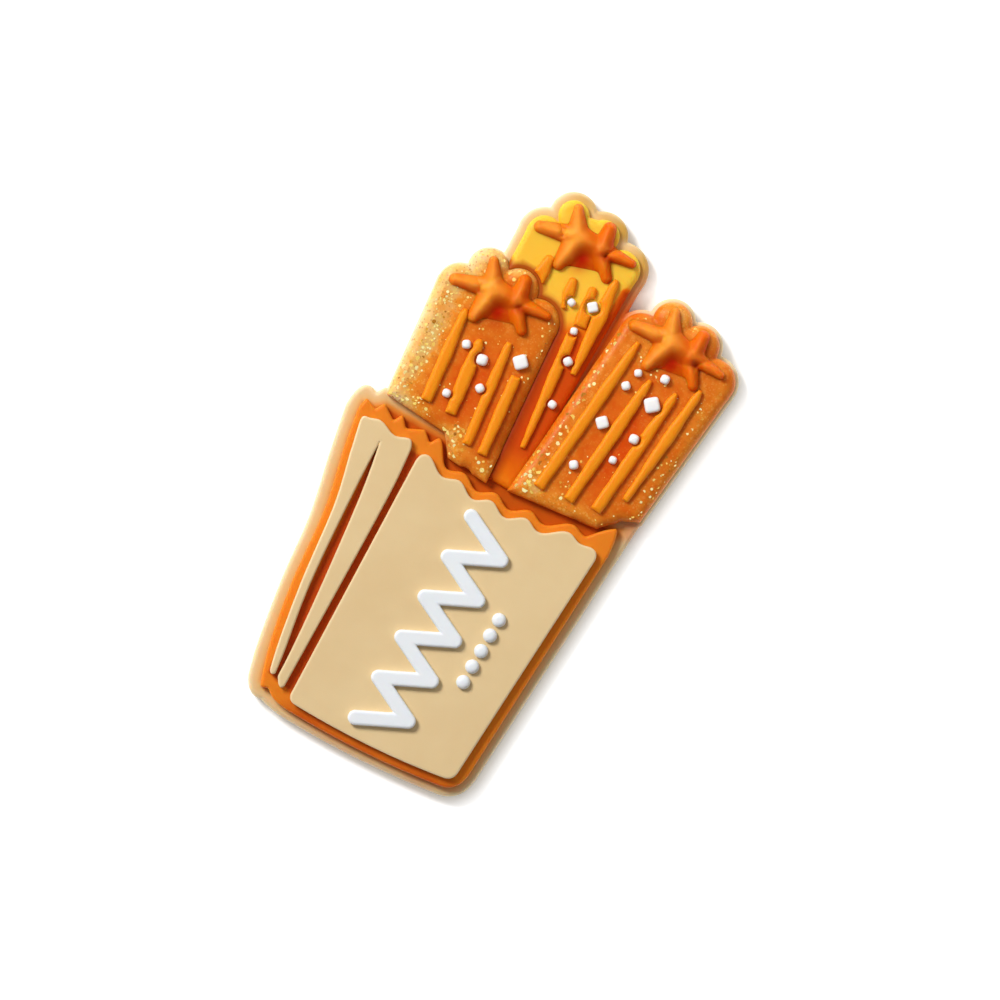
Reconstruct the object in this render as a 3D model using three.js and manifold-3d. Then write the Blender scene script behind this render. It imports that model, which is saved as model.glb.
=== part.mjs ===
// A flat shoe charm of soft moulded plastic: a pleated paper carton that holds three churros.
// It is cast in layers. A clear amber backing carries everything. On it lie the carton's orange liner, with
// a tan front panel and a tan pleated side, and the churros' bodies, with raised ridges, star-shaped ends
// and white sugar grains. The charm lies on its back: X runs across the carton, Y up it towards the churro
// ends and Z out of the flat back. Units are millimetres.
import * as THREE from "three";
import { ConvexGeometry } from "three/addons/geometries/ConvexGeometry.js";
import { mergeVertices } from "three/addons/utils/BufferGeometryUtils.js";
import Module from "manifold-3d";

const wasm = await Module();
wasm.setup();

// Layer tops, above the back.
const BACKING_TOP = 1.4;
const LINER_TOP = 2.1;
const PANEL_TOP = 2.7;
const LABEL_TOP = 3.2;
const FRONT_TOP = 2.5; // the two churros in front
const BACK_TOP = 2.0; // the churro behind them

// What is cast on top of a churro, above its own top.
const RIDGE_RISE = 0.4;
const STAR_RISE = 0.8;
const GRAIN_RISE = 0.5;

// Rounding of the upper edges.
const BACKING_SHOULDER = 0.25;
const CHURRO_SHOULDER = 0.35;
const LAYER_SHOULDER = 0.14;
const RIDGE_SHOULDER = 0.1;
const SHOULDER_STEPS = 2;

// Grooves and rims in plan.
const CHURRO_GAP = 0.2; // between a front churro and the back one
const MOUTH_GAP = 0.4; // between the churros and the carton's liner

// The lobes of a churro's end, round the end's centre: x, y, radius.
const LOBES = [
  [-2.85, -0.7, 1.32],
  [-1.65, 1.35, 1.2],
  [0.85, 1.15, 1.25],
  [3.08, -0.25, 1.46],
];

// A churro: the centre of its end, how far the end is turned and where its star stands from the centre, how
// far the body spreads past the lobes above and how far the backing's rim does, its top, and its sides, given
// from shoulder to foot, with the corners of its foot between them.
const CHURROS = {
  left: {
    centre: [-6.3, 11.9], turn: 0, star: [0, 0], spread: 0.2, rim: 0.3, top: FRONT_TOP,
    leftSide: [[-10.68, 11.05], [-9.82, 2.6]],
    foot: [[-9.72, 2.05], [-4.9, 1.74], [-3.8, 0.3]],
    rightSide: [[-1.58, 11.8], [-0.6, 0.1]],
  },
  right: {
    centre: [6.5, 14.85], turn: -8, star: [-0.3, 0], spread: 0.2, rim: 0.45, top: FRONT_TOP,
    leftSide: [[2.06, 14.6], [0.9, 0.4]],
    foot: [[8.0, 1.25], [8.9, 2.55]],
    rightSide: [[11.13, 13.7], [10.08, 3.1]],
  },
  back: {
    centre: [-3, 18.05], turn: 0, star: [0, 0], spread: -0.1, rim: 0.5, top: BACK_TOP,
    leftSide: [[-7.05, 17.3], [-6.9, 12]],
    foot: [[-1.5, 0.5]],
    rightSide: [[1.4, 17.75], [1.5, 0.5]],
  },
};

// Ridges: top and bottom of the centreline, greatest width, how far down that comes, tip and foot widths.
const RIDGES = {
  left: [
    { top: [-7.9, 10], bottom: [-7.15, 3], wide: 0.9, at: 0.5, tip: 0.3, foot: 0.8 },
    { top: [-5.97, 8.65], bottom: [-5.2, 3.05], wide: 1.05, at: 0.42, tip: 0.3, foot: 0.8 },
    { top: [-4.1, 9.45], bottom: [-3.15, 1.75], wide: 0.78, at: 0.3, tip: 0.35, foot: 0.68 },
    { top: [-2.52, 7.62], bottom: [-1.87, 1.7], wide: 0.86, at: 0.4, tip: 0.7, foot: 0.7 },
  ],
  right: [
    { top: [3.7, 14], bottom: [2.7, 1.7], wide: 0.86, at: 0.3, tip: 0.3, foot: 0.82 },
    { top: [5.75, 12.1], bottom: [4.97, 1.95], wide: 0.92, at: 0.35, tip: 0.3, foot: 0.78 },
    { top: [7.78, 12.2], bottom: [6.97, 2.25], wide: 0.9, at: 0.5, tip: 0.3, foot: 0.82 },
    { top: [9.17, 13.22], bottom: [8.4, 3.9], wide: 0.86, at: 0.45, tip: 0.3, foot: 0.45 },
  ],
  back: [
    { top: [-4.6, 16.2], bottom: [-4.6, 14.2], wide: 1.0, at: 0.6, tip: 0.3, foot: 1.0 },
    { top: [-2.45, 15.65], bottom: [-2.05, 13.35], wide: 0.85, at: 0.5, tip: 0.3, foot: 0.3 },
    { top: [-0.95, 15.75], bottom: [-0.4, 12.85], wide: 0.9, at: 0.5, tip: 0.3, foot: 0.95 },
    { top: [0.2, 17], bottom: [0.85, 9.7], wide: 1.05, at: 0.4, tip: 0.3, foot: 0.45 },
    { top: [-0.6, 12.2], bottom: [0.35, 3.5], wide: 0.85, at: 0.35, tip: 0.75, foot: 0.4 },
  ],
};

// Star arms round a star's centre: root, tip, root width, tip width.
const STAR_ARMS = [
  { root: [-0.7, 0.2], tip: [-1.6, 1.95], rootWidth: 1.6, tipWidth: 0.5 },
  { root: [-0.8, 0.2], tip: [-3.3, -0.5], rootWidth: 1.3, tipWidth: 0.7 },
  { root: [-0.55, 0], tip: [-0.9, -2.1], rootWidth: 1.9, tipWidth: 0.75 },
  { root: [-0.4, 0.2], tip: [1.3, 0.3], rootWidth: 1.6, tipWidth: 1.2 },
  { root: [1.2, 0.4], tip: [1.0, 1.8], rootWidth: 1.3, tipWidth: 0.8 },
  { root: [1.3, 0.3], tip: [3.55, 0.45], rootWidth: 1.1, tipWidth: 0.45 },
  { root: [1.2, 0.1], tip: [2.5, -1.3], rootWidth: 1.0, tipWidth: 0.6 },
];
const STAR_WEB = [[-0.9, -0.1], [1.0, 0.1], [2.1, -1.1], [0.7, -1.55], [-0.6, -2.0]]; // between two arms
const WEB_RISE = 0.16;
const STAR_ROUND = 4; // half the number of sides round a gem
const STAR_WALL = 0.45; // share of an arm's rise that is upright wall
const STAR_TIP = 0.6; // how high an arm's tip is, against its root

// Sugar grains: place and radius. Most are round drops, and the largest are blunt crystals.
const GRAINS = {
  left: [
    { at: [-6.65, 7.85], radius: 0.32 },
    { at: [-5.15, 7.45], radius: 0.4 },
    { at: [-4.3, 5.65], radius: 0.32 },
    { at: [-6.15, 4.2], radius: 0.3 },
    { at: [-2.75, 8.65], radius: 0.58, crystal: true },
  ],
  right: [
    { at: [4.75, 12.1], radius: 0.28 },
    { at: [6.6, 12.65], radius: 0.33 },
    { at: [4.45, 10.9], radius: 0.32 },
    { at: [6.7, 10.65], radius: 0.62, crystal: true },
    { at: [4.3, 7.85], radius: 0.5, crystal: true },
    { at: [6.8, 7.95], radius: 0.35 },
    { at: [6.25, 5.95], radius: 0.28 },
    { at: [4.05, 4.3], radius: 0.33 },
  ],
  back: [
    { at: [-1.75, 14.05], radius: 0.28 },
    { at: [-0.3, 14.5], radius: 0.43, crystal: true },
    { at: [-0.6, 12.4], radius: 0.27 },
    { at: [0.1, 10.35], radius: 0.33 },
    { at: [0.65, 7.2], radius: 0.3 },
  ],
};
const GRAIN_CLEARANCE = 0.16; // the ridges are cut back this far round a grain

// The panel's wavy mouth: its turning points from right to left, each half wave between two of them.
const MOUTH_WAVE = [
  [8.1, -0.1], [7.2, -0.25], [6.2, 0.05], [4.2, -1], [3.1, -0.6], [1.65, -1.3],
  [0.35, -0.75], [-0.9, -1.3], [-2.3, -0.65], [-3.45, -1], [-5.1, -0.2],
];
const LINER_STEP = 0.62; // how far the liner's wave stands above the panel's
const WAVE_STEPS = 5;
// Torn teeth along the liner's top left, from right to left: peak, then the notch beside it.
const TEETH = [
  [[-5.05, 1.25], [-5.45, 0.6]],
  [[-6.15, 1.25], [-7.4, 0.65]],
  [[-8.05, 1.4], [-8.42, 0.68]],
  [[-9.55, 1.45], [-9.9, 0.75]],
  [[-10.85, 1.15], [-10.98, 0.2]],
];

// The label: a zigzag ribbon down the panel, and a row of drops beside it.
const ZIGZAG = { left: -0.35, right: 3.0, top: -2.4, bottom: -18.6, strokes: 10, width: 1.05 };
const DROPS = { x: 4.95, top: -7.7, bottom: -12.7, count: 5, radius: 0.5 };

// Faceting.
const ROUND_STEPS = 8; // half the number of sides of a lobe
const FAN_STEPS = 5;
const DROP_STEPS = 3;
const DROP_ROUND = 10;

const COLOURS = {
  backing: 0xd98a3a, liner: 0xe8842c, tan: 0xdcc090, glitter: 0xd9822b,
  yellow: 0xf0be3c, orange: 0xee8c22, white: 0xf2f2f0,
};
const SOFT_PLASTIC = { roughness: 0.5, metalness: 0 };
const ORIGIN = new THREE.Vector2(0, 0);

// ---- outlines -------------------------------------------------------------------------------------------

const toVector = ([x, y]) => new THREE.Vector2(x, y);

const anticlockwise = (points) => (THREE.ShapeUtils.isClockWise(points) ? points.reverse() : points);

// The points of a closed shape, anticlockwise, with no point twice.
function outlineOf(shape, steps) {
  const points = shape.getPoints(steps);
  return anticlockwise(points.filter((p, i) => p.distanceTo(points[(i + 1) % points.length]) > 1e-3));
}

// Moves every point of an anticlockwise outline inwards, or outwards if the distance is negative.
function inset(outline, distance) {
  const most = 1.6;
  return outline.map((p, i) => {
    const before = outline[(i + outline.length - 1) % outline.length];
    const after = outline[(i + 1) % outline.length];
    const into = new THREE.Vector2().subVectors(p, before).normalize();
    const out = new THREE.Vector2().subVectors(after, p).normalize();
    const normal = new THREE.Vector2(-into.y - out.y, into.x + out.x).normalize();
    const stretch = Math.min(most, 1 / Math.max(1e-3, normal.dot(new THREE.Vector2(-out.y, out.x))));
    return p.clone().addScaledVector(normal, distance * stretch);
  });
}

// A smooth wave through its turning points, which are its crests and troughs in order.
function wave(turns) {
  const points = [];
  turns.slice(1).forEach((end, i) => {
    const start = turns[i];
    for (let k = 0; k < WAVE_STEPS; k++) {
      const t = k / WAVE_STEPS;
      const level = (1 - Math.cos(Math.PI * t)) / 2;
      const x = start[0] + (end[0] - start[0]) * t;
      points.push(new THREE.Vector2(x, start[1] + (end[1] - start[1]) * level));
    }
  });
  points.push(toVector(turns.at(-1)));
  return points;
}

// ---- solids ---------------------------------------------------------------------------------------------

function solidOf(geometry) {
  const bare = geometry.clone();
  bare.deleteAttribute("normal");
  bare.deleteAttribute("uv");
  const merged = mergeVertices(bare, 1e-5);
  return new wasm.Manifold(new wasm.Mesh({
    numProp: 3,
    vertProperties: merged.attributes.position.array,
    triVerts: new Uint32Array(merged.index.array),
  }));
}

function geometryOf(solid) {
  const mesh = solid.getMesh();
  const positions = new Float32Array(mesh.numVert * 3);
  for (let i = 0; i < mesh.numVert; i++) {
    positions.set(mesh.vertProperties.subarray(i * mesh.numProp, i * mesh.numProp + 3), i * 3);
  }
  const geometry = new THREE.BufferGeometry();
  geometry.setAttribute("position", new THREE.BufferAttribute(positions, 3));
  geometry.setIndex(new THREE.BufferAttribute(mesh.triVerts, 1));
  geometry.computeVertexNormals();
  return geometry;
}

// A closed body from rings of equal length, the lowest first, with flat caps on the first and the last.
function stack(rings) {
  const count = rings[0].outline.length;
  const positions = rings.flatMap(({ outline, z }) => outline.flatMap((p) => [p.x, p.y, z]));
  const index = [];
  THREE.ShapeUtils.triangulateShape(rings[0].outline, []).forEach(([a, b, c]) => index.push(a, c, b));
  rings.slice(1).forEach((_, level) => {
    for (let i = 0; i < count; i++) {
      const j = (i + 1) % count;
      const low = level * count;
      const high = low + count;
      index.push(low + i, low + j, high + j, low + i, high + j, high + i);
    }
  });
  const top = (rings.length - 1) * count;
  const cap = THREE.ShapeUtils.triangulateShape(rings.at(-1).outline, []);
  cap.forEach((triangle) => index.push(...triangle.map((k) => k + top)));
  const geometry = new THREE.BufferGeometry();
  geometry.setAttribute("position", new THREE.Float32BufferAttribute(positions, 3));
  geometry.setIndex(index);
  return geometry;
}

// An outline raised from bottom to top, its upper edge rounded by the shoulder.
function slab(outline, bottom, top, shoulder = 0) {
  const rings = [{ outline, z: bottom }];
  for (let k = 0; shoulder > 0 && k <= SHOULDER_STEPS; k++) {
    const angle = (k / SHOULDER_STEPS) * Math.PI / 2;
    rings.push({
      outline: inset(outline, shoulder * (1 - Math.cos(angle))),
      z: top - shoulder * (1 - Math.sin(angle)),
    });
  }
  if (shoulder === 0) rings.push({ outline, z: top });
  return solidOf(stack(rings));
}

const unite = (solids) => solids.reduce((all, next) => all.add(next));

// A cut may leave crumbs beside the body it was meant to leave.
const largest = (solid) => (
  solid.decompose().reduce((most, next) => (next.volume() > most.volume() ? next : most))
);

function disc(radius, steps = ROUND_STEPS) {
  const shape = new THREE.Shape();
  shape.absarc(0, 0, radius, 0, 2 * Math.PI);
  return outlineOf(shape, steps);
}

// A round drop with a flat foot.
function drop(at, radius, bottom, rise) {
  const profile = [new THREE.Vector2(0, 0), new THREE.Vector2(radius, 0)];
  for (let k = 1; k < DROP_STEPS; k++) {
    const angle = (k / DROP_STEPS) * Math.PI / 2;
    profile.push(new THREE.Vector2(radius * Math.cos(angle), rise * Math.sin(angle)));
  }
  profile.push(new THREE.Vector2(0, rise));
  const geometry = new THREE.LatheGeometry(profile, DROP_ROUND);
  geometry.rotateX(Math.PI / 2);
  geometry.translate(at[0], at[1], bottom);
  return solidOf(geometry);
}

const polar = (centre, radius, angle) => (
  new THREE.Vector2(centre.x + radius * Math.cos(angle), centre.y + radius * Math.sin(angle))
);

// Points round a centre, from one angle to another.
function fan(centre, radius, from, to) {
  const points = [];
  for (let k = 0; k <= FAN_STEPS; k++) {
    points.push(polar(centre, radius, from + ((to - from) * k) / FAN_STEPS));
  }
  return points;
}

const moved = (outline, place) => outline.map((p) => p.clone().add(toVector(place)));

// ---- carton ---------------------------------------------------------------------------------------------

function panelOutline() {
  const shape = new THREE.Shape();
  shape.moveTo(-5.67, -1);
  shape.lineTo(-5.08, -19.3);
  shape.quadraticCurveTo(-5.06, -19.95, -4.4, -19.96);
  shape.quadraticCurveTo(1.5, -20.1, 7, -19.2);
  shape.quadraticCurveTo(7.75, -19.1, 7.8, -18.4);
  shape.lineTo(8.68, -0.9);
  shape.quadraticCurveTo(8.7, -0.15, ...MOUTH_WAVE[0]);
  wave(MOUTH_WAVE).slice(1).forEach((p) => shape.lineTo(p.x, p.y));
  shape.quadraticCurveTo(-5.65, -0.25, -5.67, -1);
  return outlineOf(shape, 4);
}

// Two pleats joined at the top, with a slit between them that opens downwards and closes at the foot.
function pleatsOutline() {
  const crest = wave([[-6.75, 0.16], [-7.8, -0.17], [-9.2, 0.25], [-10.15, 0]]);
  const shape = new THREE.Shape();
  shape.moveTo(crest[0].x, crest[0].y);
  crest.slice(1).forEach((p) => shape.lineTo(p.x, p.y));
  shape.quadraticCurveTo(-10.5, -0.02, -10.42, -0.5);
  shape.splineThru([[-9.9, -2.8], [-9.05, -6.5], [-8.4, -12], [-7.7, -16.3], [-7.2, -18.6]].map(toVector));
  shape.quadraticCurveTo(-7.02, -19.1, -6.72, -18.75);
  shape.splineThru([[-6.95, -17], [-7.75, -12], [-8.3, -5], [-8.48, -1.1]].map(toVector));
  shape.splineThru([[-7.8, -5], [-7, -12], [-6.6, -16.5], [-6.48, -18.8]].map(toVector));
  shape.quadraticCurveTo(-5.95, -19.75, -5.72, -19.2);
  shape.splineThru([[-5.85, -12], [-6.05, -4], [-6.32, -0.55]].map(toVector));
  shape.quadraticCurveTo(-6.45, 0.1, crest[0].x, crest[0].y);
  return outlineOf(shape, 3);
}

// The liner stands out round the panel and the pleats, with a wavy mouth, torn teeth and a pointed flap.
function linerOutline() {
  const shape = new THREE.Shape();
  shape.moveTo(9.35, 0);
  shape.quadraticCurveTo(9.25, 1.4, 8.95, 1.95);
  shape.quadraticCurveTo(8.4, 1.75, 7.3, 0.37);
  const raised = MOUTH_WAVE.slice(1, -1).map(([x, y]) => [x, y + LINER_STEP]);
  wave([...raised, TEETH[0][0]]).forEach((p) => shape.lineTo(p.x, p.y));
  TEETH.forEach(([peak, notch], i) => {
    if (i > 0) shape.lineTo(...peak);
    shape.lineTo(...notch);
  });
  shape.splineThru([[-10.4, -3], [-9.5, -7], [-8.95, -12.5], [-8.15, -17], [-7.2, -20.1]].map(toVector));
  shape.lineTo(-6.65, -19.9);
  shape.lineTo(-6.2, -20.25);
  shape.quadraticCurveTo(-5.5, -20.58, -4.4, -20.58);
  shape.quadraticCurveTo(1.5, -20.7, 7.2, -19.82);
  shape.quadraticCurveTo(8.4, -19.6, 8.55, -18.2);
  return outlineOf(shape, 3);
}

// The backing under the carton, a rim wider than the liner and wider on the left than on the right.
function cartonBackingOutline() {
  const shape = new THREE.Shape();
  shape.moveTo(10.2, 2.9);
  shape.lineTo(-10.1, 2.4);
  shape.lineTo(-10.45, 1.8);
  shape.quadraticCurveTo(-11.87, 2.6, -11.87, 0);
  const side = [[-11.16, -3.6], [-10.2, -8], [-9.7, -12.6], [-8.92, -17.4], [-8.33, -19.8]];
  shape.splineThru(side.map(toVector));
  shape.quadraticCurveTo(-7.75, -21.1, -6.7, -20.85);
  shape.quadraticCurveTo(-5.6, -21.2, -4.4, -21.2);
  shape.quadraticCurveTo(1.5, -21.32, 7.4, -20.42);
  shape.quadraticCurveTo(9.02, -20.12, 9.15, -18.2);
  return outlineOf(shape, 4);
}

// ---- churros --------------------------------------------------------------------------------------------

// A point of a churro's end frame, round the end's centre, in the charm's frame.
function fromEnd(churro, point) {
  const angle = THREE.MathUtils.degToRad(churro.turn);
  return toVector(point).rotateAround(ORIGIN, angle).add(toVector(churro.centre));
}

// A churro's plan as an upright solid, grown by the margin: its sides, and the lobes of its end.
function plan(churro, margin, bottom, top, shoulder = 0) {
  const { centre, leftSide, rightSide, foot, spread } = churro;
  const sides = [centre, leftSide[0], leftSide[1], ...foot, rightSide[1], rightSide[0]].map(toVector);
  const round = ([x, y, radius]) => {
    const place = fromEnd(churro, [x, y]).toArray();
    return slab(moved(disc(radius + margin), place), bottom, top, shoulder);
  };
  const lobes = LOBES.map(([x, y, radius]) => round([x, y, radius + spread]));
  return unite([slab(inset(sides, -margin), bottom, top, shoulder), round([0, 0.3, 1.6]), ...lobes]);
}

function ridgeOutline({ top, bottom, wide, at, tip, foot }) {
  const start = toVector(top);
  const run = new THREE.Vector2().subVectors(toVector(bottom), start);
  const side = new THREE.Vector2(-run.y, run.x).normalize();
  const widths = [[0, tip], [0.06, (tip + wide) / 2], [at, wide], [1, foot]];
  const edge = (sign) => widths.map(([t, width]) => (
    start.clone().addScaledVector(run, t).addScaledVector(side, (sign * width) / 2)
  ));
  return anticlockwise([...edge(1), ...edge(-1).reverse()]);
}

// A ridge on its churro, cut back round the sugar grains that stand on the same churro.
function ridgeSolid(churro, grains, ridge) {
  const top = churro.top + RIDGE_RISE;
  const body = slab(ridgeOutline(ridge), churro.top, top, RIDGE_SHOULDER);
  return largest(grains.reduce((left, { at, radius }) => (
    left.subtract(slab(moved(disc(radius + GRAIN_CLEARANCE), at), churro.top - 1, top + 1))
  ), body));
}

// A point round the centre of a churro's star, in the charm's frame.
const fromStar = (churro, [x, y]) => fromEnd(churro, [x + churro.star[0], y + churro.star[1]]);

// One arm of a star: a gem with upright sides, highest over its root and lower towards its tip.
function starArm(churro, { root, tip, rootWidth, tipWidth }) {
  const gem = ([x, y], width, rise) => {
    const rim = disc(width / 2, STAR_ROUND).map((p) => fromStar(churro, [x + p.x, y + p.y]));
    const peak = fromStar(churro, [x, y]);
    return [
      ...rim.map((p) => new THREE.Vector3(p.x, p.y, churro.top)),
      ...rim.map((p) => new THREE.Vector3(p.x, p.y, churro.top + rise * STAR_WALL)),
      new THREE.Vector3(peak.x, peak.y, churro.top + rise),
    ];
  };
  const points = [...gem(root, rootWidth, STAR_RISE), ...gem(tip, tipWidth, STAR_RISE * STAR_TIP)];
  return solidOf(new ConvexGeometry(points));
}

// A star: its arms, and the low web that joins two of them.
function starSolid(churro) {
  const web = anticlockwise(STAR_WEB.map((point) => fromStar(churro, point)));
  const arms = STAR_ARMS.map((arm) => starArm(churro, arm));
  return unite([slab(web, churro.top, churro.top + WEB_RISE), ...arms]);
}

// A sugar grain: a blunt crystal set cornerwise, or a round drop.
function grainSolid(churro, { at, radius, crystal }) {
  if (!crystal) return drop(at, radius, churro.top, GRAIN_RISE);
  const middle = toVector(at);
  const square = [0, 1, 2, 3].map((k) => polar(middle, radius, (k * Math.PI) / 2));
  return slab(square, churro.top, churro.top + GRAIN_RISE, LAYER_SHOULDER);
}

// ---- label ----------------------------------------------------------------------------------------------

// The edge of a bar that follows a line of turns, walked along the line's right side: round where the line
// turns away from that side, and mitred where it turns towards it.
function edgeOutline(turns, width) {
  const towards = (from, to) => new THREE.Vector2().subVectors(to, from).normalize();
  const directions = turns.slice(1).map((to, i) => towards(turns[i], to));
  const rightOf = (direction) => Math.atan2(-direction.x, direction.y);
  return turns.slice(1, -1).flatMap((turn, i) => {
    const [into, out] = [directions[i], directions[i + 1]];
    const bend = Math.atan2(into.cross(out), into.dot(out));
    const middle = rightOf(into) + bend / 2;
    if (bend < 0) return [polar(turn, width / 2 / Math.cos(bend / 2), middle)];
    return fan(turn, width / 2, middle - bend / 2, middle + bend / 2);
  });
}

function zigzagSolid() {
  const { left, right, top, bottom, strokes, width } = ZIGZAG;
  const turns = [];
  for (let k = 0; k <= strokes; k++) {
    turns.push(new THREE.Vector2(k % 2 === 0 ? left : right, top + ((bottom - top) * k) / strokes));
  }
  const cap = (end, before) => {
    const along = Math.atan2(end.y - before.y, end.x - before.x);
    return fan(end, width / 2, along - Math.PI / 2, along + Math.PI / 2);
  };
  const outline = [
    ...cap(turns.at(-1), turns.at(-2)), ...edgeOutline([...turns].reverse(), width),
    ...cap(turns[0], turns[1]), ...edgeOutline(turns, width),
  ];
  return slab(anticlockwise(outline), PANEL_TOP, LABEL_TOP, LAYER_SHOULDER);
}

// ---- charm ----------------------------------------------------------------------------------------------

const charm = new THREE.Group();

function add(name, solid, color) {
  const material = new THREE.MeshStandardMaterial({ color, ...SOFT_PLASTIC });
  const mesh = new THREE.Mesh(geometryOf(solid), material);
  mesh.name = name;
  charm.add(mesh);
}

const { left, right, back } = CHURROS;
const all = [left, right, back];

add("backing", unite([
  slab(cartonBackingOutline(), 0, BACKING_TOP, BACKING_SHOULDER),
  ...all.map((churro) => plan(churro, churro.rim - churro.spread, 0, BACKING_TOP, BACKING_SHOULDER)),
]), COLOURS.backing);
add("liner", slab(linerOutline(), BACKING_TOP, LINER_TOP, LAYER_SHOULDER), COLOURS.liner);
add("front_panel", slab(panelOutline(), LINER_TOP, PANEL_TOP, LAYER_SHOULDER), COLOURS.tan);
add("side_pleats", slab(pleatsOutline(), LINER_TOP, PANEL_TOP, LAYER_SHOULDER), COLOURS.tan);

// The churros stop short of the carton's mouth, and the back one short of the two in front.
const mouth = slab(moved(linerOutline(), [0, MOUTH_GAP]), 0, LABEL_TOP);
const beside = unite([left, right].map((churro) => plan(churro, CHURRO_GAP, 0, LABEL_TOP)));
const bodyOf = (churro) => plan(churro, 0, BACKING_TOP, churro.top, CHURRO_SHOULDER).subtract(mouth);
add("churro_left", largest(bodyOf(left)), COLOURS.glitter);
add("churro_right", largest(bodyOf(right)), COLOURS.glitter);
add("churro_back", largest(bodyOf(back).subtract(beside)), COLOURS.yellow);

Object.entries(CHURROS).forEach(([side, churro]) => {
  add(`star_${side}`, starSolid(churro), COLOURS.orange);
  RIDGES[side].forEach((ridge, i) => {
    const solid = ridgeSolid(churro, GRAINS[side], ridge);
    const clear = churro === back ? largest(solid.subtract(beside)) : solid;
    add(`ridge_${side}_${i + 1}`, clear, COLOURS.orange);
  });
  GRAINS[side].forEach((grain, i) => {
    add(`sugar_${side}_${i + 1}`, grainSolid(churro, grain), COLOURS.white);
  });
});

add("label_zigzag", zigzagSolid(), COLOURS.white);
for (let k = 0; k < DROPS.count; k++) {
  const y = DROPS.top + ((DROPS.bottom - DROPS.top) * k) / (DROPS.count - 1);
  const solid = drop([DROPS.x, y], DROPS.radius, PANEL_TOP, LABEL_TOP - PANEL_TOP);
  add(`label_drop_${k + 1}`, solid, COLOURS.white);
}

// The charm's origin is under the middle of its own box.
const box = new THREE.Box3().setFromObject(charm);
charm.position.set(-(box.min.x + box.max.x) / 2, -(box.min.y + box.max.y) / 2, 0);

const part = new THREE.Group();
part.add(charm);
export default part;
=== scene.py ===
"""A flat shoe charm of soft moulded plastic, a pleated paper carton of three churros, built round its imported
CAD model.

Every piece is a relief: a plan given as a distance function, raised to a height, with its edges rounded
along contours of the distance. Plans and places are in millimetres in the charm's design frame, which is
that of the CAD source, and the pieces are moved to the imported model's frame, in metres, as they are made.
"""
import itertools
import math
import random

import bpy
import numpy as np
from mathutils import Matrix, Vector
from mathutils.geometry import delaunay_2d_cdt


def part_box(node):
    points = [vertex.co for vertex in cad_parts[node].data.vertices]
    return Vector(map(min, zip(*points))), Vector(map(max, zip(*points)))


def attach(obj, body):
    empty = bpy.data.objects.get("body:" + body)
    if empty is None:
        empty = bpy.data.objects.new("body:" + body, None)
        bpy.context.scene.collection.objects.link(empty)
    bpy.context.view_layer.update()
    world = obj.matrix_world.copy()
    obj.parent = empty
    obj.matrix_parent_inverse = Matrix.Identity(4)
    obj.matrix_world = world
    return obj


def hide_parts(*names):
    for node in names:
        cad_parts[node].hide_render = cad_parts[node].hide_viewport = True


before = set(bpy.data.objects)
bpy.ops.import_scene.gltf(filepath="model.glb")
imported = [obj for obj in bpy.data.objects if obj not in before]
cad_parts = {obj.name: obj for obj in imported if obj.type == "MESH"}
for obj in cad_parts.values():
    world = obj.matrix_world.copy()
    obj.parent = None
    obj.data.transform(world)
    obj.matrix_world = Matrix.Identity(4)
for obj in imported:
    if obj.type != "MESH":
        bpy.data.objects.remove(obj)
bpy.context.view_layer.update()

MM = 0.001

# ---- the charm's plan, as in the CAD source

# The lobes of a churro's end, round the end's centre: x, y, radius.
LOBES = [(-2.85, -0.7, 1.32), (-1.65, 1.35, 1.2), (0.85, 1.15, 1.25), (3.08, -0.25, 1.46)]
# The disc that fills the middle of the end.
END_MIDDLE = (0, 0.3, 1.6)
# A churro: the centre of its end, how far the end is turned and where its star stands from the centre, how
# far the body spreads past the lobes above and how far the backing's rim does, and the corners of its sides.
CHURROS = {
    "left": {
        "centre": (-6.3, 11.9), "turn": 0, "star": (0, 0), "spread": 0.2, "rim": 0.3,
        "sides": [
            (-10.68, 11.05), (-9.82, 2.6), (-9.72, 2.05), (-4.9, 1.74), (-3.8, 0.3), (-0.6, 0.1),
            (-1.58, 11.8),
        ],
    },
    "right": {
        "centre": (6.5, 14.85), "turn": -8, "star": (-0.3, 0), "spread": 0.2, "rim": 0.45,
        "sides": [(2.06, 14.6), (0.9, 0.4), (8.0, 1.25), (8.9, 2.55), (10.08, 3.1), (11.13, 13.7)],
    },
    "back": {
        "centre": (-3, 18.05), "turn": 0, "star": (0, 0), "spread": -0.1, "rim": 0.5,
        "sides": [(-7.05, 17.3), (-6.9, 12), (-1.5, 0.5), (1.5, 0.5), (1.4, 17.75)],
    },
}
CHURRO_GAP = 0.2  # between a front churro and the back one
MOUTH_GAP = 0.4  # between the churros and the carton's liner
OUTLINE_FILLET = 0.05  # in the inner corners of a churro's outline and of the backing's

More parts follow.
